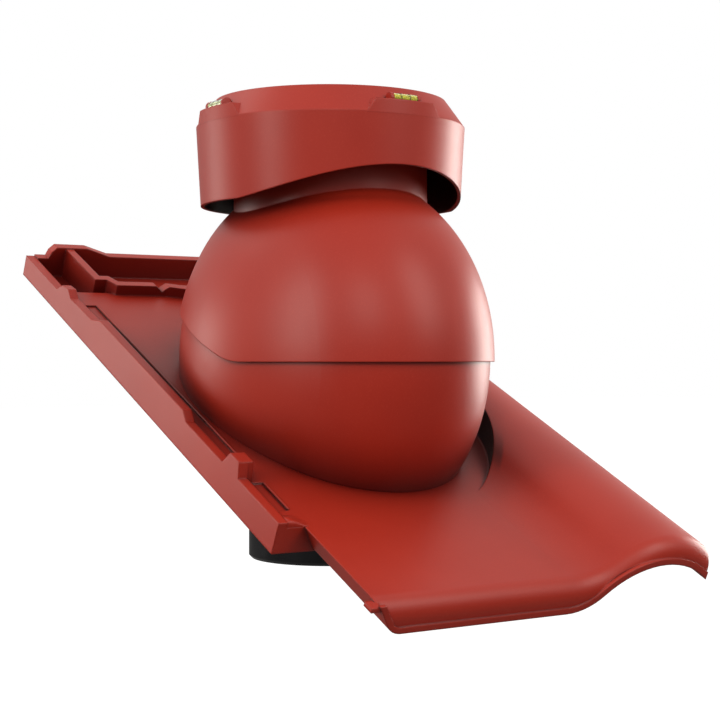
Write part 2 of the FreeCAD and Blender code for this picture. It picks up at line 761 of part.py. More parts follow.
def make_hood():
    outer = ball("HoodOuter", "hood_half_width", "hood_radius")
    neck = cone("NeckOuter", "neck_foot_radius", "neck_top_radius", "cap_edge / 2", "neck_top")
    solid = fuse("HoodSolid", outer, neck)
    inner = ball("HoodInner", "hood_half_width - hood_wall", "hood_radius - hood_wall")
    bore = cone("NeckBore", "neck_foot_radius - neck_wall", "neck_top_radius - neck_wall", "0", "neck_top - neck_wall")
    passage = cylinder("NeckPassage", "duct_radius + pin_gap", "0", "2 * neck_top")
    seam_points = [
        ("-2 * hood_radius", "-seam_drop"),
        ("-2 * hood_radius", "-2 * hood_radius"),
        ("2 * hood_radius", "-2 * hood_radius"),
        ("2 * hood_radius", "seam_back_rise + (2 * hood_radius - seam_back) * (seam_back_rise - seam_rise)"
                            " / (seam_back - seam_mid)"),
        ("seam_mid + seam_crest_run", "seam_rise + seam_crest_run * (seam_back_rise - seam_rise)"
                                       " / (seam_back - seam_mid)", "seam_crest_radius", 1),
        ("seam_mid - seam_dip_run", "seam_rise - seam_dip_fall"),
        ("-seam_bend", "seam_bend_rise", "seam_dip_radius", -1),
        ("-seam_front", "-seam_drop"),
    ]
    seam = sketch("SeamSection", seam_points)
    seam.Placement = FreeCAD.Placement(
        FreeCAD.Vector(), FreeCAD.Rotation(FreeCAD.Vector(0, 0, 1), 90) * FreeCAD.Rotation(FreeCAD.Vector(1, 0, 0), 90)
    )
    below = doc.addObject("Part::Extrusion", "HoodBelow")
    below.Base = seam
    below.DirMode = "Custom"
    below.Dir = FreeCAD.Vector(1, 0, 0)
    below.Solid = True
    bind(below, LengthFwd="2 * hood_half_width", LengthRev="2 * hood_half_width")
    hood = cut("Hood", solid, inner, bore, passage, below)
    keep("tilt_hood", on_hinge(hood))
    filling = cone("InsulationOuter", "neck_foot_radius - neck_wall - pin_gap", "neck_top_radius - neck_wall - pin_gap",
                   "0", "neck_top - neck_wall")
    stretch = cylinder("InsulationStretch", "hood_radius", "insulation_low", "neck_top - neck_wall")
    ring = cut("Insulation", common("InsulationSolid", filling, stretch),
               cylinder("InsulationBore", "duct_radius + pin_gap", "0", "2 * neck_top"))
    keep("neck_insulation", on_hinge(ring))


def make_duct():
    bead_low = "-bead_height"
    points = [
        ("duct_bore", "-duct_bottom"),
        ("duct_radius - duct_chamfer", "-duct_bottom"),
        ("duct_radius", "duct_chamfer - duct_bottom"),
        ("duct_radius", bead_low),
        ("duct_radius + bead_rise", bead_low + " + bead_bevel"),
        ("duct_radius + bead_rise", bead_low + " + bead_thick - bead_bevel"),
        ("duct_radius", bead_low + " + bead_thick"),
        ("duct_radius", "neck_top"),
        ("duct_radius + bead_rise", "neck_top"),
        ("duct_radius + bead_rise", "neck_top + bead_thick"),
        ("duct_radius", "neck_top + bead_thick"),
        ("duct_radius", "duct_top"),
        ("duct_bore", "duct_top"),
    ]
    keep("duct_pipe", on_hinge(revolved("DuctPipe", points)))
    collar_points = [
        ("duct_radius + pin_gap", "-clamp_height / 2"),
        ("duct_radius + clamp_thick", "-clamp_height / 2"),
        ("duct_radius + clamp_thick", "clamp_height / 2"),
        ("duct_radius + pin_gap", "clamp_height / 2"),
    ]
    keep("trunnion_collar", on_hinge(revolved("TrunnionCollar", collar_points)))
    for label, side in (("left", -1), ("right", 1)):
        shaft_ends = ("-pin_end", "-duct_radius") if side < 0 else ("duct_radius", "pin_end")
        flange_ends = ("1 - boss_start", "-duct_radius") if side < 0 else ("duct_radius", "boss_start - 1")
        pin = cross_cylinder("PinShaft" + label, "pin_radius", *shaft_ends)
        flange = cross_cylinder("PinFlange" + label, "boss_radius", *flange_ends)
        round_back = cylinder("PinBack" + label, "duct_radius + clamp_thick + seat_gap", "-duct_radius", "duct_radius")
        keep(f"trunnion_pin_{label}", on_hinge(cut("Pin" + label, fuse("PinSolid" + label, pin, flange), round_back)))


def make_cap():
    outside = turned_solid("CapOutside", [
        ("0", "cap_edge"),
        ("cap_edge_radius", "cap_edge"),
        ("cap_radius", "cap_rim"),
        ("cap_top_radius", "cap_top"),
        ("0", "cap_top"),
    ])
    arch = doc.addObject("Part::Cylinder", "CapArch")
    turned(arch, FreeCAD.Vector(1, 0, 0), "90")
    bind(arch, Radius="arch_radius", Height="2 * cap_radius")
    place(arch, "0", "-cap_wall", "cap_edge + arch_rise - arch_radius")
    pads = []
    for name, angle in (("Front", 0), ("Side", -90)):
        points = [
            ("-pad_base_half", "cap_rim - 1"),
            ("pad_base_half", "cap_rim - 1"),
            ("pad_top_half", "pad_top"),
            ("-pad_top_half", "pad_top"),
        ]
        wedge = extrusion("PadWedge" + name, sketch("PadSection" + name, points), "-2 * cap_radius", "-cap_top_radius / 2")
        limit = cylinder("PadLimit" + name, "cap_radius", "cap_rim - 1", "pad_top")
        pad = common("Pad" + name, wedge, limit)
        pad.Placement = FreeCAD.Placement(FreeCAD.Vector(), FreeCAD.Rotation(FreeCAD.Vector(0, 0, 1), angle))
        pads.append(pad)
    solid = fuse("CapSolid", outside, *pads)
    hollow = turned_solid("CapHollow", [
        ("0", "cap_edge - cap_wall"),
        ("cap_edge_radius - cap_wall", "cap_edge - cap_wall"),
        ("cap_edge_radius - cap_wall", "cap_edge"),
        ("cap_radius - cap_wall", "cap_rim - cap_wall / 2"),
        ("cap_top_radius - cap_wall", "cap_top - cap_wall"),
        ("0", "cap_top - cap_wall"),
    ])
    beds = []
    for name, angle in (("Front", 0), ("Side", -90)):
        bed = cross_cylinder("VialBed" + name, "plug_radius + plug_gap", "-vial_length / 2 - plug_length - plug_gap",
                             "vial_length / 2 + plug_length + plug_gap", y="vial_inset - cap_radius",
                             z="pad_top + vial_rise")
        beds.append(spun("VialBedTurned" + name, bed, angle))
    cap = cut("Cap", solid, hollow, arch, *beds)
    keep("rain_cap", on_hinge(cap))
    # ring and legs that carry the cap on the duct
    ring_points = [
        ("duct_bore - leg_ring_thick", "duct_top - leg_ring_depth"),
        ("duct_bore - pin_gap", "duct_top - leg_ring_depth"),
        ("duct_bore - pin_gap", "duct_top"),
        ("duct_radius + bead_rise", "duct_top"),
        ("duct_radius + bead_rise", "duct_top + leg_ring_lip"),
        ("duct_bore - leg_ring_thick", "duct_top + leg_ring_lip"),
    ]
    ring = revolved("SpiderRing", ring_points)
    legs = []
    for number in range(4):
        leg = box(f"Leg{number}", ("duct_bore - 3", "cap_top_radius - 2 * cap_wall"), ("-leg_thick / 2", "leg_thick / 2"),
                  ("duct_top + 1", "cap_top - cap_wall"))
        legs.append(spun(f"LegTurned{number}", leg, 45 + 90 * number))
    keep("cap_spider", on_hinge(fuse("Spider", ring, *legs)))
    for label, angle in (("front", 0), ("side", -90)):
        tube = cross_cylinder("Tube" + label, "vial_radius", "-vial_length / 2", "vial_length / 2",
                              y="vial_inset - cap_radius", z="pad_top + vial_rise")
        hole = cross_cylinder("TubeHole" + label, "vial_radius - vial_wall", "-vial_length", "vial_length",
                              y="vial_inset - cap_radius", z="pad_top + vial_rise")
        liquid = cross_cylinder("Liquid" + label, "vial_radius - vial_wall - liquid_gap", "liquid_end - vial_length / 2",
                                "vial_length / 2 - liquid_end", y="vial_inset - cap_radius", z="pad_top + vial_rise")
        keep(f"vial_tube_{label}", on_hinge(spun("VialTube" + label, cut("TubeCut" + label, tube, hole), angle)))
        keep(f"vial_liquid_{label}", on_hinge(spun("VialLiquid" + label, liquid, angle)))
        for word, side in (("left", -1), ("right", 1)):
            ends = ["vial_length / 2 + pin_gap", "vial_length / 2 + plug_length"]
            if side < 0:
                ends = [f"-({end})" for end in ends[::-1]]
            plug = cross_cylinder(f"Plug{label}{word}", "plug_radius", *ends, y="vial_inset - cap_radius",
                                  z="pad_top + vial_rise")
            keep(f"vial_plug_{label}_{word}", on_hinge(spun(f"VialPlug{label}{word}", plug, angle)))


def held(name, item):
    """Hold a piece that has a place of its own, so that the two can be set together."""
    holder = doc.addObject("Part::Compound", name)
    holder.Links = [item]
    return holder


def spun(name, item, angle):
    """Set a piece drawn at the front at another place round the duct's axis."""
    holder = held(name, item)
    holder.Placement = FreeCAD.Placement(FreeCAD.Vector(), FreeCAD.Rotation(FreeCAD.Vector(0, 0, 1), angle))
    return holder


make_tile()
make_cowl()
make_hood()
make_duct()
make_cap()
doc.recompute()

for item in doc.Objects:
    if "Invalid" in item.State or "Error" in item.State:
        raise RuntimeError(f"{item.Name} failed: {item.State}")
for item in pieces:
    shape = item.Shape
    if shape.isNull() or not shape.isValid() or len(shape.Solids) != 1:
        raise RuntimeError(f"{item.Label} is not one valid solid: {len(shape.Solids)}")

os.makedirs("parts", exist_ok=True)
for item in pieces:
    item.Shape.exportStep(f"parts/{item.Label}.step")
    print(item.Label, round(item.Shape.Volume), len(item.Shape.Faces))
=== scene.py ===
import json
import math

import bmesh
import bpy
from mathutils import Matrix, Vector

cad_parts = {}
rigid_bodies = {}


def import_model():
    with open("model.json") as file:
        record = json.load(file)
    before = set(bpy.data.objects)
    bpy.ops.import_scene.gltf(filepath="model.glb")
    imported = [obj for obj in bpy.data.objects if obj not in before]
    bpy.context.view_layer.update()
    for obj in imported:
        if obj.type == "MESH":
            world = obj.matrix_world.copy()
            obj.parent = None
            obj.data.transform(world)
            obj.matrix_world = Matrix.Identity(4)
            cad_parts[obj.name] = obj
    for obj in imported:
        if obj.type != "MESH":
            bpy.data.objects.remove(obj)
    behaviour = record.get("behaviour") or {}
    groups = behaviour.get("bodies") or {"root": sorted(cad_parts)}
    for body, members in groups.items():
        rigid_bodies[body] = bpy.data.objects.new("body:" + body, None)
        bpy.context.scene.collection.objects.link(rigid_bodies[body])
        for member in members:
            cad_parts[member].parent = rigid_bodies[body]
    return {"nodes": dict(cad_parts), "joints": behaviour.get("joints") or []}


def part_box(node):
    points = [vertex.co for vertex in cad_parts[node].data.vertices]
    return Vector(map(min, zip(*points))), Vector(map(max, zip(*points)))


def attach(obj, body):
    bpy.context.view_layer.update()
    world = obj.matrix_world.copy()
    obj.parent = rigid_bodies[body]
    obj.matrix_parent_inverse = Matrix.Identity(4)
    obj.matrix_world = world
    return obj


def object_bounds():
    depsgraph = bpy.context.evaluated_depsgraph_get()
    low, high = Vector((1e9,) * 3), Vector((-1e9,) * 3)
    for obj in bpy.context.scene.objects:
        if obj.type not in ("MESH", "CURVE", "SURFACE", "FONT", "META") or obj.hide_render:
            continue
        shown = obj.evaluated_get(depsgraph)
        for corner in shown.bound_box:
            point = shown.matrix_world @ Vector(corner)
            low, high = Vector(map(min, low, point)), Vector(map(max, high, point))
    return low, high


for leftover in list(bpy.data.objects):
    bpy.data.objects.remove(leftover)
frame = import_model()
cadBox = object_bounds()
scene = bpy.context.scene
nodes = frame["nodes"]
hinge = Vector(frame["joints"][0]["pos_m"])  # the tilt axis crosses the duct's axis here
print("frame loaded:", len(nodes), "nodes")


# a shader value that takes part in plain Python sums
class Value:
    def __init__(self, paint, socket):
        self.paint = paint
        self.socket = socket

    def joined(self, operation, first, second):
        return self.paint.add("ShaderNodeMath", {"operation": operation}, {0: first, 1: second})

    def __add__(self, other):
        return self.joined("ADD", self, other)

    def __sub__(self, other):
        return self.joined("SUBTRACT", self, other)

    def __rsub__(self, other):
        return self.joined("SUBTRACT", other, self)

    def __mul__(self, other):
        return self.joined("MULTIPLY", self, other)

    def __truediv__(self, other):
        return self.joined("DIVIDE", self, other)

    def __rtruediv__(self, other):
        return self.joined("DIVIDE", other, self)

    def __pow__(self, other):
        return self.joined("POWER", self, other)

    def __neg__(self):
        return 0 - self

    __radd__ = __add__
    __rmul__ = __mul__


# one material while its nodes are laid down
class Paint:
    def __init__(self, name, world=None):
        self.material = world or bpy.data.materials.new(name)
        self.material.use_nodes = True
        self.tree = self.material.node_tree
        self.tree.nodes.clear()

    def add(self, kind, settings=None, values=None, output=0):
        item = self.tree.nodes.new(kind)
        for key, setting in (settings or {}).items():
            setattr(item, key, setting)
        for key, value in (values or {}).items():
            if isinstance(value, Value):
                self.tree.links.new(value.socket, item.inputs[key])
            else:
                item.inputs[key].default_value = value
        return Value(self, item.outputs[output])

    def place(self):
        return self.add("ShaderNodeTexCoord", output="Object")

    def placeFromHinge(self):
        return self.vector("SUBTRACT", self.place(), tuple(hinge))

    def noise(self, scale, detail, roughness, where=None):
        values = {"Vector": where or self.place(), "Scale": scale, "Detail": detail, "Roughness": roughness}
        return self.add("ShaderNodeTexNoise", None, values)

    def fade(self, value, low, high):  # 0 below low, 1 above high, smooth between
        settings = {"interpolation_type": "SMOOTHSTEP"}
        return self.add("ShaderNodeMapRange", settings, {"Value": value, "From Min": low, "From Max": high})

    def larger(self, first, second):
        return self.add("ShaderNodeMath", {"operation": "MAXIMUM"}, {0: first, 1: second})

    def blend(self, mask, first, second):
        return self.add("ShaderNodeMix", {"data_type": "RGBA"}, {0: mask, 6: first, 7: second}, output=2)

    def vector(self, operation, first, second=None, output=0):
        values = {0: first} if second is None else {0: first, 1: second}
        return self.add("ShaderNodeVectorMath", {"operation": operation}, values, output)

    def part(self, vector, name):
        return self.add("ShaderNodeSeparateXYZ", None, {0: vector}, output=name)

    def finish(self, shader):
        world = isinstance(self.material, bpy.types.World)
        output = self.tree.nodes.new("ShaderNodeOutputWorld" if world else "ShaderNodeOutputMaterial")
        self.tree.links.new(shader.socket, output.inputs["Surface"])
        return self.material


brick = {
    "colour": (0.460, 0.026, 0.010, 1),
    "deep": (0.415, 0.021, 0.008, 1),
    "pale": (0.510, 0.040, 0.018, 1),
    # painted shade: near black for the cap's inside and the well's cut wall
    "unlit": (0.012, 0.004, 0.004, 1),
    "cloud": (9, 3, 0.55),  # a noise is given as its scale, detail and roughness
    "cloudFade": (0.3, 0.7),
    "speck": (900, 1, 0.5),
    "speckFade": (0.5, 0.8),
    "speckShare": 0.35,
    "smear": (26, 4, 0.6),
    "grain": (2300, 2, 0.6),
    "grainDepth": 0.00006,
    "grainStrength": 0.22,
    "roughness": 0.41,
    "smearRoughness": 0.08,
    "speckRoughness": 0.05,
    "edge": 0.0012,  # rounding of the moulded edges
    "tileEdge": 0.0016,
    "edgeSamples": 6,
    # painted shade: the colour that hollows and places near other parts darken to
    "hollow": (0.112, 0.003, 0.001, 1),
    "hollowReach": 0.07,  # how far away a wall still darkens the colour with painted shade
    "tileReach": 0.12,
    "hollowFade": (0.30, 0.92),
    "hollowSamples": 8,
}


def brickPlastic(name, paintedShadeMask=None, spared=None, edge=brick["edge"], reach=brick["hollowReach"]):
    paint = Paint(name)
    cloud = paint.noise(*brick["cloud"])
    speck = paint.noise(*brick["speck"])
    colour = paint.blend(paint.fade(cloud, *brick["cloudFade"]), brick["deep"], brick["colour"])
    colour = paint.blend(paint.fade(speck, *brick["speckFade"]) * brick["speckShare"], colour, brick["pale"])
    # painted shade: ambient occlusion darkens the colour towards the painted hollow shade in hollows, creases
    # and near other parts
    settings = {"samples": brick["hollowSamples"]}
    room = paint.add("ShaderNodeAmbientOcclusion", settings, {"Distance": reach}, "AO")
    clear = paint.fade(room, *brick["hollowFade"])
    if spared:
        clear = paint.larger(clear, spared(paint))
    colour = paint.blend(clear, brick["hollow"], colour)
    # painted shade: where this mask is 1, the colour goes to the unlit near black
    if paintedShadeMask:
        colour = paint.blend(paintedShadeMask(paint), colour, brick["unlit"])
    smear = paint.noise(*brick["smear"])
    grain = paint.noise(*brick["grain"])
    rounded = paint.add("ShaderNodeBevel", {"samples": brick["edgeSamples"]}, {"Radius": edge})
    bump = paint.add("ShaderNodeBump", None, {
        "Strength": brick["grainStrength"],
        "Distance": brick["grainDepth"],
        "Height": grain,
        "Normal": rounded,
    })
    worn = (smear - 0.5) * brick["smearRoughness"] + (speck - 0.5) * brick["speckRoughness"]
    shader = paint.add("ShaderNodeBsdfPrincipled", None, {
        "Base Color": colour, "Roughness": brick["roughness"] + worn, "IOR": 1.5, "Normal": bump,
    })
    return paint.finish(shader)


black = {
    "gloss": {"colour": (0.010, 0.010, 0.012, 1), "roughness": 0.18, "grainStrength": 0.06},
    "matt": {"colour": (0.018, 0.018, 0.020, 1), "roughness": 0.48, "grainStrength": 0.25},
    "rubber": {"colour": (0.022, 0.022, 0.022, 1), "roughness": 0.75, "grainStrength": 0.5},
    "grain": (1800, 2, 0.6),
    "grainDepth": 0.00005,
    "scuff": (60, 5, 0.65),
    "scuffRoughness": 0.14,
    "dust": (14, 4, 0.6),
    "dustFade": (0.45, 0.85),
    "dustShare": 0.25,
    "dustColour": (0.05, 0.048, 0.045, 1),
    "edge": 0.0006,
    "edgeSamples": 4,
}


def blackPlastic(name, look):
    paint = Paint(name)
    scuff = paint.noise(*black["scuff"])
    grain = paint.noise(*black["grain"])
    dust = paint.fade(paint.noise(*black["dust"]), *black["dustFade"])
    colour = paint.blend(dust * black["dustShare"], look["colour"], black["dustColour"])
    rounded = paint.add("ShaderNodeBevel", {"samples": black["edgeSamples"]}, {"Radius": black["edge"]})
    bump = paint.add("ShaderNodeBump", None, {
        "Strength": look["grainStrength"],
        "Distance": black["grainDepth"],
        "Height": grain,
        "Normal": rounded,
    })
    roughness = look["roughness"] + (scuff - 0.5) * black["scuffRoughness"]
    shader = paint.add("ShaderNodeBsdfPrincipled", None, {
        "Base Color": colour, "Roughness": roughness, "IOR": 1.5, "Normal": bump,
    })
    return paint.finish(shader)


foam = {
    "dark": (0.42, 0.42, 0.43, 1),
    "light": (0.60, 0.60, 0.61, 1),
    "tone": (35, 3, 0.6),
    "toneFade": (0.3, 0.7),
    "toneRoughness": 0.2,
    "roughness": 0.8,
    "cellScale": 900,
    "cellDepth": 0.0002,
    "cellStrength": 0.5,
}


def foamGrey(name):
    paint = Paint(name)
    where = {"Vector": paint.place(), "Scale": foam["cellScale"]}
    cells = paint.add("ShaderNodeTexVoronoi", {"feature": "F1"}, where)
    tone = paint.noise(*foam["tone"])
    colour = paint.blend(paint.fade(tone, *foam["toneFade"]), foam["dark"], foam["light"])
    bump = paint.add("ShaderNodeBump", None, {
        "Strength": foam["cellStrength"], "Distance": foam["cellDepth"], "Height": cells,
    })
    roughness = foam["roughness"] + (tone - 0.5) * foam["toneRoughness"]
    shader = paint.add("ShaderNodeBsdfPrincipled", None, {
        "Base Color": colour, "Roughness": roughness, "Normal": bump,
    })
    return paint.finish(shader)


pinSteel = {
    "dark": (0.50, 0.50, 0.52, 1),
    "light": (0.66, 0.66, 0.67, 1),
    "turning": (2600, 60, 60),  # scale along the pin's axis and across it
    "lines": (1, 3, 0.6),
    "lineDepth": 0.00003,
    "lineStrength": 0.2,
    "roughness": 0.26,
    "lineRoughness": 0.2,
}


def turnedSteel(name):
    paint = Paint(name)
    across = paint.add("ShaderNodeMapping", None, {"Vector": paint.place(), "Scale": pinSteel["turning"]})
    lines = paint.noise(*pinSteel["lines"], where=across)
    bump = paint.add("ShaderNodeBump", None, {
        "Strength": pinSteel["lineStrength"], "Distance": pinSteel["lineDepth"], "Height": lines,
    })
    colour = paint.blend(lines, pinSteel["dark"], pinSteel["light"])
    roughness = pinSteel["roughness"] + (lines - 0.5) * pinSteel["lineRoughness"]
    shader = paint.add("ShaderNodeBsdfPrincipled", None, {
        "Base Color": colour, "Metallic": 1.0, "Roughness": roughness, "Normal": bump,
    })
    return paint.finish(shader)


well = {
    "pitch": math.radians(25),
    "floor": -0.038,  # the pan's level below the tilt axis, along the tile's normal
    "aboveFloor": (0.0005, 0.002),  # heights over the pan between which the painted shade sets in
    "halfAcross": 0.1109,
    "halfAlong": 0.1377,
    "reach": (1.04, 1.06),  # in shares of the well's half sizes
    "inward": (0.03, 0.06),  # cosine of a face's turn to the well's middle, times its distance in metres
}


# painted shade: the cut wall beside the cowl, through the roll, is painted near black
def paintedShadeOfWell(paint):
    normal = (0, -math.sin(well["pitch"]), math.cos(well["pitch"]))
    alongSlope = (0, math.cos(well["pitch"]), math.sin(well["pitch"]))
    point = paint.placeFromHinge()
    height = paint.vector("DOT_PRODUCT", point, normal, output="Value") - well["floor"]
    across = paint.part(point, "X")
    along = paint.vector("DOT_PRODUCT", point, alongSlope, output="Value")
    span = ((across / well["halfAcross"]) ** 2 + (along / well["halfAlong"]) ** 2) ** 0.5
    facing = paint.add("ShaderNodeTexCoord", output="Normal")
    faceAlong = paint.vector("DOT_PRODUCT", facing, alongSlope, output="Value")
    inward = -(across * paint.part(facing, "X") + along * faceAlong)
    near = 1 - paint.fade(span, *well["reach"])
    return paint.fade(inward, *well["inward"]) * paint.fade(height, *well["aboveFloor"]) * near


capInside = {
    "inward": (0.25, 0.6),  # how far a face turns to the cap's axis
    "downward": (0.3, 0.6),
    "ceiling": (0.150, 0.152),  # height above the tilt axis
}


# painted shade: the cap's inner side is painted near black, its outer side and rim are red
def paintedShadeInCap(paint):
    point = paint.placeFromHinge()
    outward = paint.vector("NORMALIZE", paint.vector("MULTIPLY", point, (1, 1, 0)))
    normal = paint.add("ShaderNodeTexCoord", output="Normal")
    inward = -paint.vector("DOT_PRODUCT", outward, normal, output="Value")
    down = -paint.part(normal, "Z")
    high = paint.fade(paint.part(point, "Z"), *capInside["ceiling"])
    return paint.fade(inward, *capInside["inward"]) + paint.fade(down, *capInside["downward"]) * high


neck = {
    "height": (0.096, 0.106),  # above the tilt axis
    "spared": 0.85,  # how clear of the painted hollow shade it stays at least
}


# the hood's neck already lies in the cap's shadow, so it gets little of the painted hollow shade
def neckOfHood(paint):
    return paint.fade(paint.part(paint.placeFromHinge(), "Z"), *neck["height"]) * neck["spared"]


vialLook = {
    "glassFront": (0.95, 0.92, 0.40, 1),
    "glassSide": (0.95, 0.97, 0.80, 1),
    "glassRoughness": 0.04,
    "haze": (300, 3, 0.6),
    "hazeRoughness": 0.05,
    "hazeDepth": 0.00003,
    "hazeStrength": 0.05,
    "liquidFront": ((0.62, 0.62, 0.04, 1), (0.74, 0.72, 0.05, 1)),  # its deep colour, then its pale one
    "liquidSide": ((0.62, 0.68, 0.30, 1), (0.75, 0.78, 0.45, 1)),
    "liquidRoughness": 0.12,
    "swirl": (220, 3, 0.6),
    "swirlFade": (0.3, 0.7),
    "swirlRoughness": 0.1,
    "markRadius": 0.00345,
    "markThick": 0.0002,
    "markWidth": 0.0004,
    "markBevel": 0.0001,
    "markOffset": 0.0034,  # from the level's middle, along it
    "markSteps": 40,
    "markSharp": 35,  # degrees between faces from which an edge is sharp
}


def vialGlass(name, tint):
    paint = Paint(name)
    haze = paint.noise(*vialLook["haze"])
    bump = paint.add("ShaderNodeBump", None, {
        "Strength": vialLook["hazeStrength"], "Distance": vialLook["hazeDepth"], "Height": haze,
    })
    shader = paint.add("ShaderNodeBsdfPrincipled", None, {
        "Base Color": tint,
        "Roughness": vialLook["glassRoughness"] + haze * vialLook["hazeRoughness"],
        "IOR": 1.46,
        "Transmission Weight": 0.95,
        "Normal": bump,
    })
    return paint.finish(shader)


def levelLiquid(name, deep, pale):
    paint = Paint(name)
    swirl = paint.noise(*vialLook["swirl"])
    shader = paint.add("ShaderNodeBsdfPrincipled", None, {
        "Base Color": paint.blend(paint.fade(swirl, *vialLook["swirlFade"]), deep, pale),
        "Roughness": vialLook["liquidRoughness"] + swirl * vialLook["swirlRoughness"],
        "IOR": 1.4,
    })
    return paint.finish(shader)


def dress(material, *names):
    for name in names:
        slots = nodes[name].data.materials
        slots.clear()
        slots.append(material)


brickTile = brickPlastic("brickTile", paintedShadeMask=paintedShadeOfWell, edge=brick["tileEdge"], reach=brick["tileReach"])
brickShell = brickPlastic("brickShell", spared=neckOfHood)
brickCap = brickPlastic("brickCap", paintedShadeMask=paintedShadeInCap)
blackMatt = blackPlastic("blackMatt", black["matt"])
dress(brickTile, "tile_base")
dress(brickShell, "base_cowl", "tilt_hood", *[name for name in nodes if name.startswith("vial_plug")])
dress(brickCap, "rain_cap")
dress(blackPlastic("blackGloss", black["gloss"]), "duct_pipe")
dress(blackMatt, "cowl_lock_ring", "trunnion_collar", "cap_spider")
dress(blackMatt, "trunnion_bearing_left", "trunnion_bearing_right")
dress(blackPlastic("sealRubber", black["rubber"]), "cowl_gasket")
dress(foamGrey("foamGrey"), "neck_insulation")
dress(turnedSteel("turnedSteel"), "trunnion_pin_left", "trunnion_pin_right")
dress(vialGlass("vialGlass", vialLook["glassFront"]), "vial_tube_front")
dress(vialGlass("vialGlassPale", vialLook["glassSide"]), "vial_tube_side")
dress(levelLiquid("levelLiquid", *vialLook["liquidFront"]), "vial_liquid_front")
dress(levelLiquid("levelLiquidPale", *vialLook["liquidSide"]), "vial_liquid_side")
print("materials set")


# a skin through sections of points: a closed ring of them, or a run with both ends covered
def skin(name, sections, material, sharpAngle, ring=False):
    mesh = bmesh.new()
    rows = [[mesh.verts.new(point) for point in section] for section in sections]
    for here, after in zip(rows, rows[1:] + rows[:1] if ring else rows[1:]):
        for k in range(len(here)):
            n = (k + 1) % len(here)
            mesh.faces.new((here[k], after[k], after[n], here[n]))
    if not ring:
        mesh.faces.new(rows[0][::-1])
        mesh.faces.new(rows[-1])
    bmesh.ops.recalc_face_normals(mesh, faces=mesh.faces)
    data = bpy.data.meshes.new(name)
    mesh.to_mesh(data)
    mesh.free()
    data.shade_smooth()
    data.set_sharp_from_angle(angle=math.radians(sharpAngle))
    data.materials.append(material)
    piece = bpy.data.objects.new(name, data)
    scene.collection.objects.link(piece)
    return piece


# the two marks on a level are short tubes round it, with bevelled outer edges
def makeVialMarks(label, axis):
    low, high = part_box("vial_tube_" + label)
    outer, half, bevel = vialLook["markRadius"], vialLook["markWidth"] / 2, vialLook["markBevel"]
    inner = outer - vialLook["markThick"]
    outline = [(inner, -half), (outer - bevel, -half), (outer, bevel - half),
               (outer, half - bevel), (outer - bevel, half), (inner, half)]
    turn = Vector((0, 0, 1)).rotation_difference(axis).to_matrix()
    for side, word in ((-1, "near"), (1, "far")):
        centre = (low + high) / 2 + axis * side * vialLook["markOffset"]
        sections = []
        for step in range(vialLook["markSteps"]):
            angle = 2 * math.pi * step / vialLook["markSteps"]
            sections.append([
                centre + turn @ Vector((radius * math.cos(angle), radius * math.sin(angle), height))
                for radius, height in outline
            ])
        mark = skin(f"vial_mark_{label}_{word}", sections, blackMatt, vialLook["markSharp"], ring=True)
        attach(mark, "hood")


makeVialMarks("front", Vector((1, 0, 0)))
makeVialMarks("side", Vector((0, 1, 0)))
print("vial marks made")

tileFoot = hinge - Vector((0, 0, 0.0419))  # the point of the pan below the tilt axis
tileSharp = 50  # degrees between faces from which an edge is sharp


# a point of the tile: across it, along its slope and up from the pan
def onTile(across, along, up):
    lean = well["pitch"]
    return tileFoot + Vector((across, along * math.cos(lean) - up * math.sin(lean),
                              along * math.sin(lean) + up * math.cos(lean)))


def addToTile(name, sections):
    piece = skin(name, sections, brickTile, tileSharp)
    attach(piece, "tile")


slotLip = {
    "across": -0.0938,
    "radius": 0.0009,
    "runs": {"front": (-0.1125, -0.0795), "back": (-0.0565, 0.1900)},
    "taper": ((0, 0.35), (1, 0.8), (3, 1)),  # distance from an end, in radii, and share of the radius there
    "turns": range(195, -16, -21),  # degrees round the lip
}


# a low round lip along the slot's inner edge, in front of the stop and behind it
def makeSlotLips():
    radius = slotLip["radius"]
    turns = [math.radians(turn) for turn in slotLip["turns"]]
    for word, (front, back) in slotLip["runs"].items():
        stations = [(front + distance * radius, share * radius) for distance, share in slotLip["taper"]]
        stations += [(back - distance * radius, share * radius) for distance, share in slotLip["taper"][::-1]]
        sections = [[onTile(slotLip["across"] + here * math.cos(turn), along, here * math.sin(turn))
                     for turn in turns] for along, here in stations]
        addToTile("slot_lip_" + word, sections)


lockSwell = {
    "across": (-0.1055, -0.0885),
    "along": (-0.1320, -0.1160),
    "crest": -0.1045,
    "rise": 0.0040,
    "atWall": 0.82,  # share of the rise where the swell leaves the side wall
    "nose": 0.0016,  # rounding at the lock's front end
    "atNose": 0.35,  # share of the rise at the very front
    "sunk": (0.0001, 0.0008),  # how far its rim and its underside lie in the tile
    "rows": 24,
    "columns": 16,
    "crowding": 1.5,  # above 1, the rows lie closer at the front
}


def ease(share):  # 1 at 0 and below, 0 at 1 and above, smooth between
    return 0.5 + 0.5 * math.cos(math.pi * min(1, max(0, share)))


# the swell between the side wall and the pan, at the lock's front end
def makeLockSwell():
    left, right = lockSwell["across"]
    front, back = lockSwell["along"]
    crest, nose, atNose, atWall = (lockSwell[key] for key in ("crest", "nose", "atNose", "atWall"))
    rim, under = lockSwell["sunk"]
    sections = []
    for row in range(lockSwell["rows"] + 1):
        along = front + (back - front) * (row / lockSwell["rows"]) ** lockSwell["crowding"]
        ahead = max(0, (front + nose - along) / nose)
        height = lockSwell["rise"] * ease((along - front - 2 * nose) / (back - front - 2 * nose))
        height *= atNose + (1 - atNose) * math.sqrt(max(0, 1 - ahead ** 2))
        section = []
        for column in range(lockSwell["columns"] + 1):
            across = left + (right - left) * column / lockSwell["columns"]
            share = ease((across - crest) / (right - crest))
            share *= atWall + (1 - atWall) * min(1, (across - left) / (crest - left))
            section.append(onTile(across, along, height * share - rim))
        sections.append(section + [onTile(right, along, -under), onTile(left, along, -under)])
    addToTile("lock_end_swell", sections)


makeSlotLips()
makeLockSwell()
print("lock trim made")

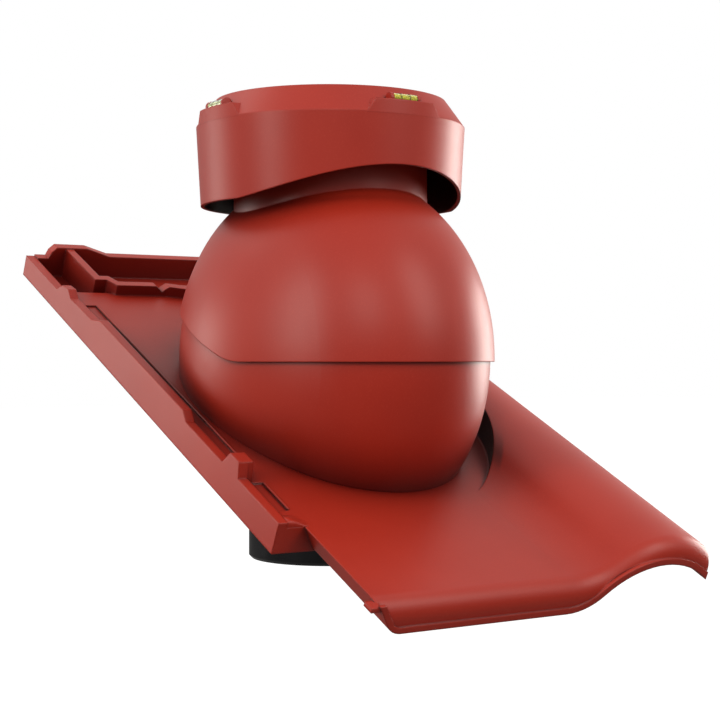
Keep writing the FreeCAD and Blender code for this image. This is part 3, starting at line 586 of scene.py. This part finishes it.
view = {
    "place": hinge + Vector((-0.5721, -0.9003, 0)),
    "along": Vector((0.552, 0.834, 0)),
    "lens": 79,
    "sensor": 36,
    "shiftY": -2 / 720,
    "clipEnd": 50,
}
cameraData = bpy.data.cameras.new("camera")
camera = bpy.data.objects.new("camera", cameraData)
scene.collection.objects.link(camera)
cameraData.sensor_width = view["sensor"]
cameraData.lens = view["lens"]
cameraData.shift_y = view["shiftY"]
cameraData.clip_end = view["clipEnd"]
camera.location = view["place"]
camera.rotation_euler = view["along"].to_track_quat("-Z", "Y").to_euler()
scene.camera = camera

# each lamp: turn from the camera to the right, height angle, distance, width, height, watts
lamps = {
    "lampLeft": (-50, 18, 1.9, 0.45, 1.2, 11.5),
    "lampRight": (58, 32, 1.9, 0.55, 1.2, 8.5),
    "lampFront": (2, 30, 2.4, 0.8, 0.6, 8),
    "lampBackRight": (129, 3, 1.9, 0.9, 0.9, 24),
    "lampBackLeft": (-110, 4, 1.9, 0.7, 0.6, 5.5),
    "lampHighLeft": (-112, 48, 1.9, 0.8, 0.8, 2.5),
}
lampColour = (1.0, 0.95, 0.89)
lampTarget = hinge + Vector((0, 0, 0.02))
cameraTurn = math.atan2(-view["along"].y, -view["along"].x)
for name, (turn, rise, distance, width, height, watts) in lamps.items():
    data = bpy.data.lights.new(name, "AREA")
    data.shape = "RECTANGLE"
    data.size = width
    data.size_y = height
    data.energy = watts
    data.color = lampColour
    angle = cameraTurn + math.radians(turn)
    tilt = math.radians(rise)
    direction = Vector((math.cos(angle) * math.cos(tilt), math.sin(angle) * math.cos(tilt), math.sin(tilt)))
    lamp = bpy.data.objects.new(name, data)
    scene.collection.objects.link(lamp)
    lamp.location = lampTarget + direction * distance
    lamp.rotation_euler = (-direction).to_track_quat("-Z", "Y").to_euler()

studio = {
    "colour": (1.0, 0.98, 0.95, 1),
    "strength": 0.60,
    "horizon": 0.45,  # share of the strength at the horizon
    "full": 0.45,  # height, as a sine, at which the surround has its full strength
    "mirrored": 0.15,  # share of the white that reflections see
}


def makeStudio():
    paint = Paint("studio", bpy.data.worlds.new("studio"))
    scene.world = paint.material
    height = paint.part(paint.add("ShaderNodeTexCoord", output="Generated"), "Z")
    share = studio["horizon"] + (1 - studio["horizon"]) * paint.fade(height, 0.0, studio["full"])
    surround = {"Color": studio["colour"], "Strength": share * studio["strength"]}
    glow = paint.add("ShaderNodeBackground", None, surround)
    white = paint.add("ShaderNodeBackground", None, {"Color": (1, 1, 1, 1), "Strength": 1.0})
    seen = paint.add("ShaderNodeLightPath", output="Is Camera Ray")
    through = paint.add("ShaderNodeLightPath", output="Is Transmission Ray")
    mirrored = paint.add("ShaderNodeLightPath", output="Is Glossy Ray") * studio["mirrored"]
    plain = paint.larger(paint.larger(seen, through), mirrored)
    paint.finish(paint.add("ShaderNodeMixShader", None, {0: plain, 1: glow, 2: white}))


makeStudio()

floorLook = {
    "drop": 0.36,  # below the lowest point of the whole vent
    "half": 14,  # half the floor's side
    "colour": (0.16, 0.16, 0.16, 1),
    "lift": 0.94,  # the white that the camera sees near the object, and further off
    "liftFar": 1.0,
    "near": 0.9,  # distances between which the white goes from one to the other
    "far": 2.4,
}


def makeFloor():
    mesh = bpy.data.meshes.new("floor")
    level = cadBox[0].z - floorLook["drop"]
    half = floorLook["half"]
    corners = [(-half, -half, level), (half, -half, level), (half, half, level), (-half, half, level)]
    mesh.from_pydata(corners, [], [(0, 1, 2, 3)])
    floor = bpy.data.objects.new("floor", mesh)
    scene.collection.objects.link(floor)
    paint = Paint("floorWhite")
    seen = paint.add("ShaderNodeLightPath", output="Is Camera Ray")
    matt = paint.add("ShaderNodeBsdfDiffuse", None, {"Color": floorLook["colour"]})
    away = paint.vector("LENGTH", paint.place(), output="Value")
    spread = paint.fade(away, floorLook["near"], floorLook["far"])
    lift = floorLook["lift"] + (floorLook["liftFar"] - floorLook["lift"]) * spread
    glow = paint.add("ShaderNodeEmission", None, {"Color": (1, 1, 1, 1), "Strength": seen * lift})
    both = paint.add("ShaderNodeAddShader", None, {0: matt, 1: glow})
    clear = paint.add("ShaderNodeBsdfTransparent")
    below = paint.add("ShaderNodeNewGeometry", output="Backfacing") * seen  # seen from below, it is clear
    mesh.materials.append(paint.finish(paint.add("ShaderNodeMixShader", None, {0: below, 1: both, 2: clear})))


makeFloor()
scene.view_settings.view_transform = "Standard"
print("camera, lamps and floor set")
